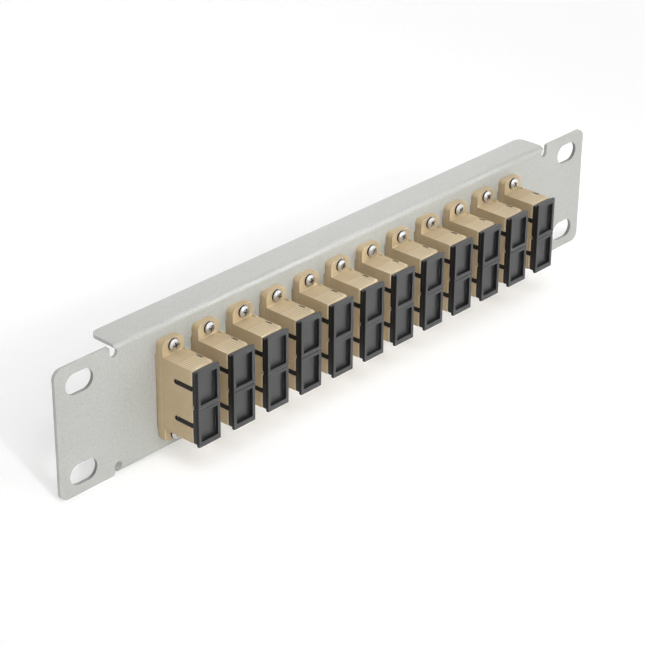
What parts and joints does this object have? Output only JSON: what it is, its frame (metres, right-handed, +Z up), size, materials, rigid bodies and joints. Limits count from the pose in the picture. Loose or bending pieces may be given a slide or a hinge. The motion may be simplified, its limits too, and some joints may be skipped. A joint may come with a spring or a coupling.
{
  "type": "fibre patch panel",
  "caption": "Folded steel rack panel with a row of duplex fibre adapters, each with pull-off dust caps front and rear.",
  "frame": {"origin": "centre of the four rack slots, on the rear face of the sheet that seats on the rack", "axes": "+X along the panel to the right as seen from the front, +Y backwards into the rack, +Z up"},
  "size_m": [0.254, 0.0335, 0.0444],
  "materials": {
    "powder_coat": "light grey fine-grained powder coat on folded steel sheet",
    "housing_plastic": "moulded beige plastic, satin",
    "cap_plastic": "soft black moulded plastic",
    "insert_plastic": "natural moulded plastic"
  },
  "bodies": {
    "panel_assembly": {"rack_panel": "powder_coat", "adapter_housing_01": "housing_plastic", "adapter_housing_02": "housing_plastic", "adapter_housing_03": "housing_plastic", "adapter_housing_04": "housing_plastic", "adapter_housing_05": "housing_plastic", "adapter_housing_06": "housing_plastic", "adapter_housing_07": "housing_plastic", "adapter_housing_08": "housing_plastic", "adapter_housing_09": "housing_plastic", "adapter_housing_10": "housing_plastic", "adapter_housing_11": "housing_plastic", "adapter_housing_12": "housing_plastic", "latch_inserts_front": "insert_plastic", "latch_inserts_rear": "insert_plastic"},
    "front_cap_01": {"front_dust_cap_01": "cap_plastic"},
    "front_cap_02": {"front_dust_cap_02": "cap_plastic"},
    "front_cap_03": {"front_dust_cap_03": "cap_plastic"},
    "front_cap_04": {"front_dust_cap_04": "cap_plastic"},
    "front_cap_05": {"front_dust_cap_05": "cap_plastic"},
    "front_cap_06": {"front_dust_cap_06": "cap_plastic"},
    "front_cap_07": {"front_dust_cap_07": "cap_plastic"},
    "front_cap_08": {"front_dust_cap_08": "cap_plastic"},
    "front_cap_09": {"front_dust_cap_09": "cap_plastic"},
    "front_cap_10": {"front_dust_cap_10": "cap_plastic"},
    "front_cap_11": {"front_dust_cap_11": "cap_plastic"},
    "front_cap_12": {"front_dust_cap_12": "cap_plastic"},
    "rear_cap_01": {"rear_dust_cap_01": "cap_plastic"},
    "rear_cap_02": {"rear_dust_cap_02": "cap_plastic"},
    "rear_cap_03": {"rear_dust_cap_03": "cap_plastic"},
    "rear_cap_04": {"rear_dust_cap_04": "cap_plastic"},
    "rear_cap_05": {"rear_dust_cap_05": "cap_plastic"},
    "rear_cap_06": {"rear_dust_cap_06": "cap_plastic"},
    "rear_cap_07": {"rear_dust_cap_07": "cap_plastic"},
    "rear_cap_08": {"rear_dust_cap_08": "cap_plastic"},
    "rear_cap_09": {"rear_dust_cap_09": "cap_plastic"},
    "rear_cap_10": {"rear_dust_cap_10": "cap_plastic"},
    "rear_cap_11": {"rear_dust_cap_11": "cap_plastic"},
    "rear_cap_12": {"rear_dust_cap_12": "cap_plastic"}
  },
  "joints": [
    {"name": "front_cap_pull_01", "type": "slide", "parent": "panel_assembly", "child": "front_cap_01", "axis": [0, -1, 0], "range_m": [0, 0.02]},
    {"name": "front_cap_pull_02", "type": "slide", "parent": "panel_assembly", "child": "front_cap_02", "axis": [0, -1, 0], "range_m": [0, 0.02]},
    {"name": "front_cap_pull_03", "type": "slide", "parent": "panel_assembly", "child": "front_cap_03", "axis": [0, -1, 0], "range_m": [0, 0.02]},
    {"name": "front_cap_pull_04", "type": "slide", "parent": "panel_assembly", "child": "front_cap_04", "axis": [0, -1, 0], "range_m": [0, 0.02]},
    {"name": "front_cap_pull_05", "type": "slide", "parent": "panel_assembly", "child": "front_cap_05", "axis": [0, -1, 0], "range_m": [0, 0.02]},
    {"name": "front_cap_pull_06", "type": "slide", "parent": "panel_assembly", "child": "front_cap_06", "axis": [0, -1, 0], "range_m": [0, 0.02]},
    {"name": "front_cap_pull_07", "type": "slide", "parent": "panel_assembly", "child": "front_cap_07", "axis": [0, -1, 0], "range_m": [0, 0.02]},
    {"name": "front_cap_pull_08", "type": "slide", "parent": "panel_assembly", "child": "front_cap_08", "axis": [0, -1, 0], "range_m": [0, 0.02]},
    {"name": "front_cap_pull_09", "type": "slide", "parent": "panel_assembly", "child": "front_cap_09", "axis": [0, -1, 0], "range_m": [0, 0.02]},
    {"name": "front_cap_pull_10", "type": "slide", "parent": "panel_assembly", "child": "front_cap_10", "axis": [0, -1, 0], "range_m": [0, 0.02]},
    {"name": "front_cap_pull_11", "type": "slide", "parent": "panel_assembly", "child": "front_cap_11", "axis": [0, -1, 0], "range_m": [0, 0.02]},
    {"name": "front_cap_pull_12", "type": "slide", "parent": "panel_assembly", "child": "front_cap_12", "axis": [0, -1, 0], "range_m": [0, 0.02]},
    {"name": "rear_cap_pull_01", "type": "slide", "parent": "panel_assembly", "child": "rear_cap_01", "axis": [0, 1, 0], "range_m": [0, 0.02]},
    {"name": "rear_cap_pull_02", "type": "slide", "parent": "panel_assembly", "child": "rear_cap_02", "axis": [0, 1, 0], "range_m": [0, 0.02]},
    {"name": "rear_cap_pull_03", "type": "slide", "parent": "panel_assembly", "child": "rear_cap_03", "axis": [0, 1, 0], "range_m": [0, 0.02]},
    {"name": "rear_cap_pull_04", "type": "slide", "parent": "panel_assembly", "child": "rear_cap_04", "axis": [0, 1, 0], "range_m": [0, 0.02]},
    {"name": "rear_cap_pull_05", "type": "slide", "parent": "panel_assembly", "child": "rear_cap_05", "axis": [0, 1, 0], "range_m": [0, 0.02]},
    {"name": "rear_cap_pull_06", "type": "slide", "parent": "panel_assembly", "child": "rear_cap_06", "axis": [0, 1, 0], "range_m": [0, 0.02]},
    {"name": "rear_cap_pull_07", "type": "slide", "parent": "panel_assembly", "child": "rear_cap_07", "axis": [0, 1, 0], "range_m": [0, 0.02]},
    {"name": "rear_cap_pull_08", "type": "slide", "parent": "panel_assembly", "child": "rear_cap_08", "axis": [0, 1, 0], "range_m": [0, 0.02]},
    {"name": "rear_cap_pull_09", "type": "slide", "parent": "panel_assembly", "child": "rear_cap_09", "axis": [0, 1, 0], "range_m": [0, 0.02]},
    {"name": "rear_cap_pull_10", "type": "slide", "parent": "panel_assembly", "child": "rear_cap_10", "axis": [0, 1, 0], "range_m": [0, 0.02]},
    {"name": "rear_cap_pull_11", "type": "slide", "parent": "panel_assembly", "child": "rear_cap_11", "axis": [0, 1, 0], "range_m": [0, 0.02]},
    {"name": "rear_cap_pull_12", "type": "slide", "parent": "panel_assembly", "child": "rear_cap_12", "axis": [0, 1, 0], "range_m": [0, 0.02]}
  ]
}
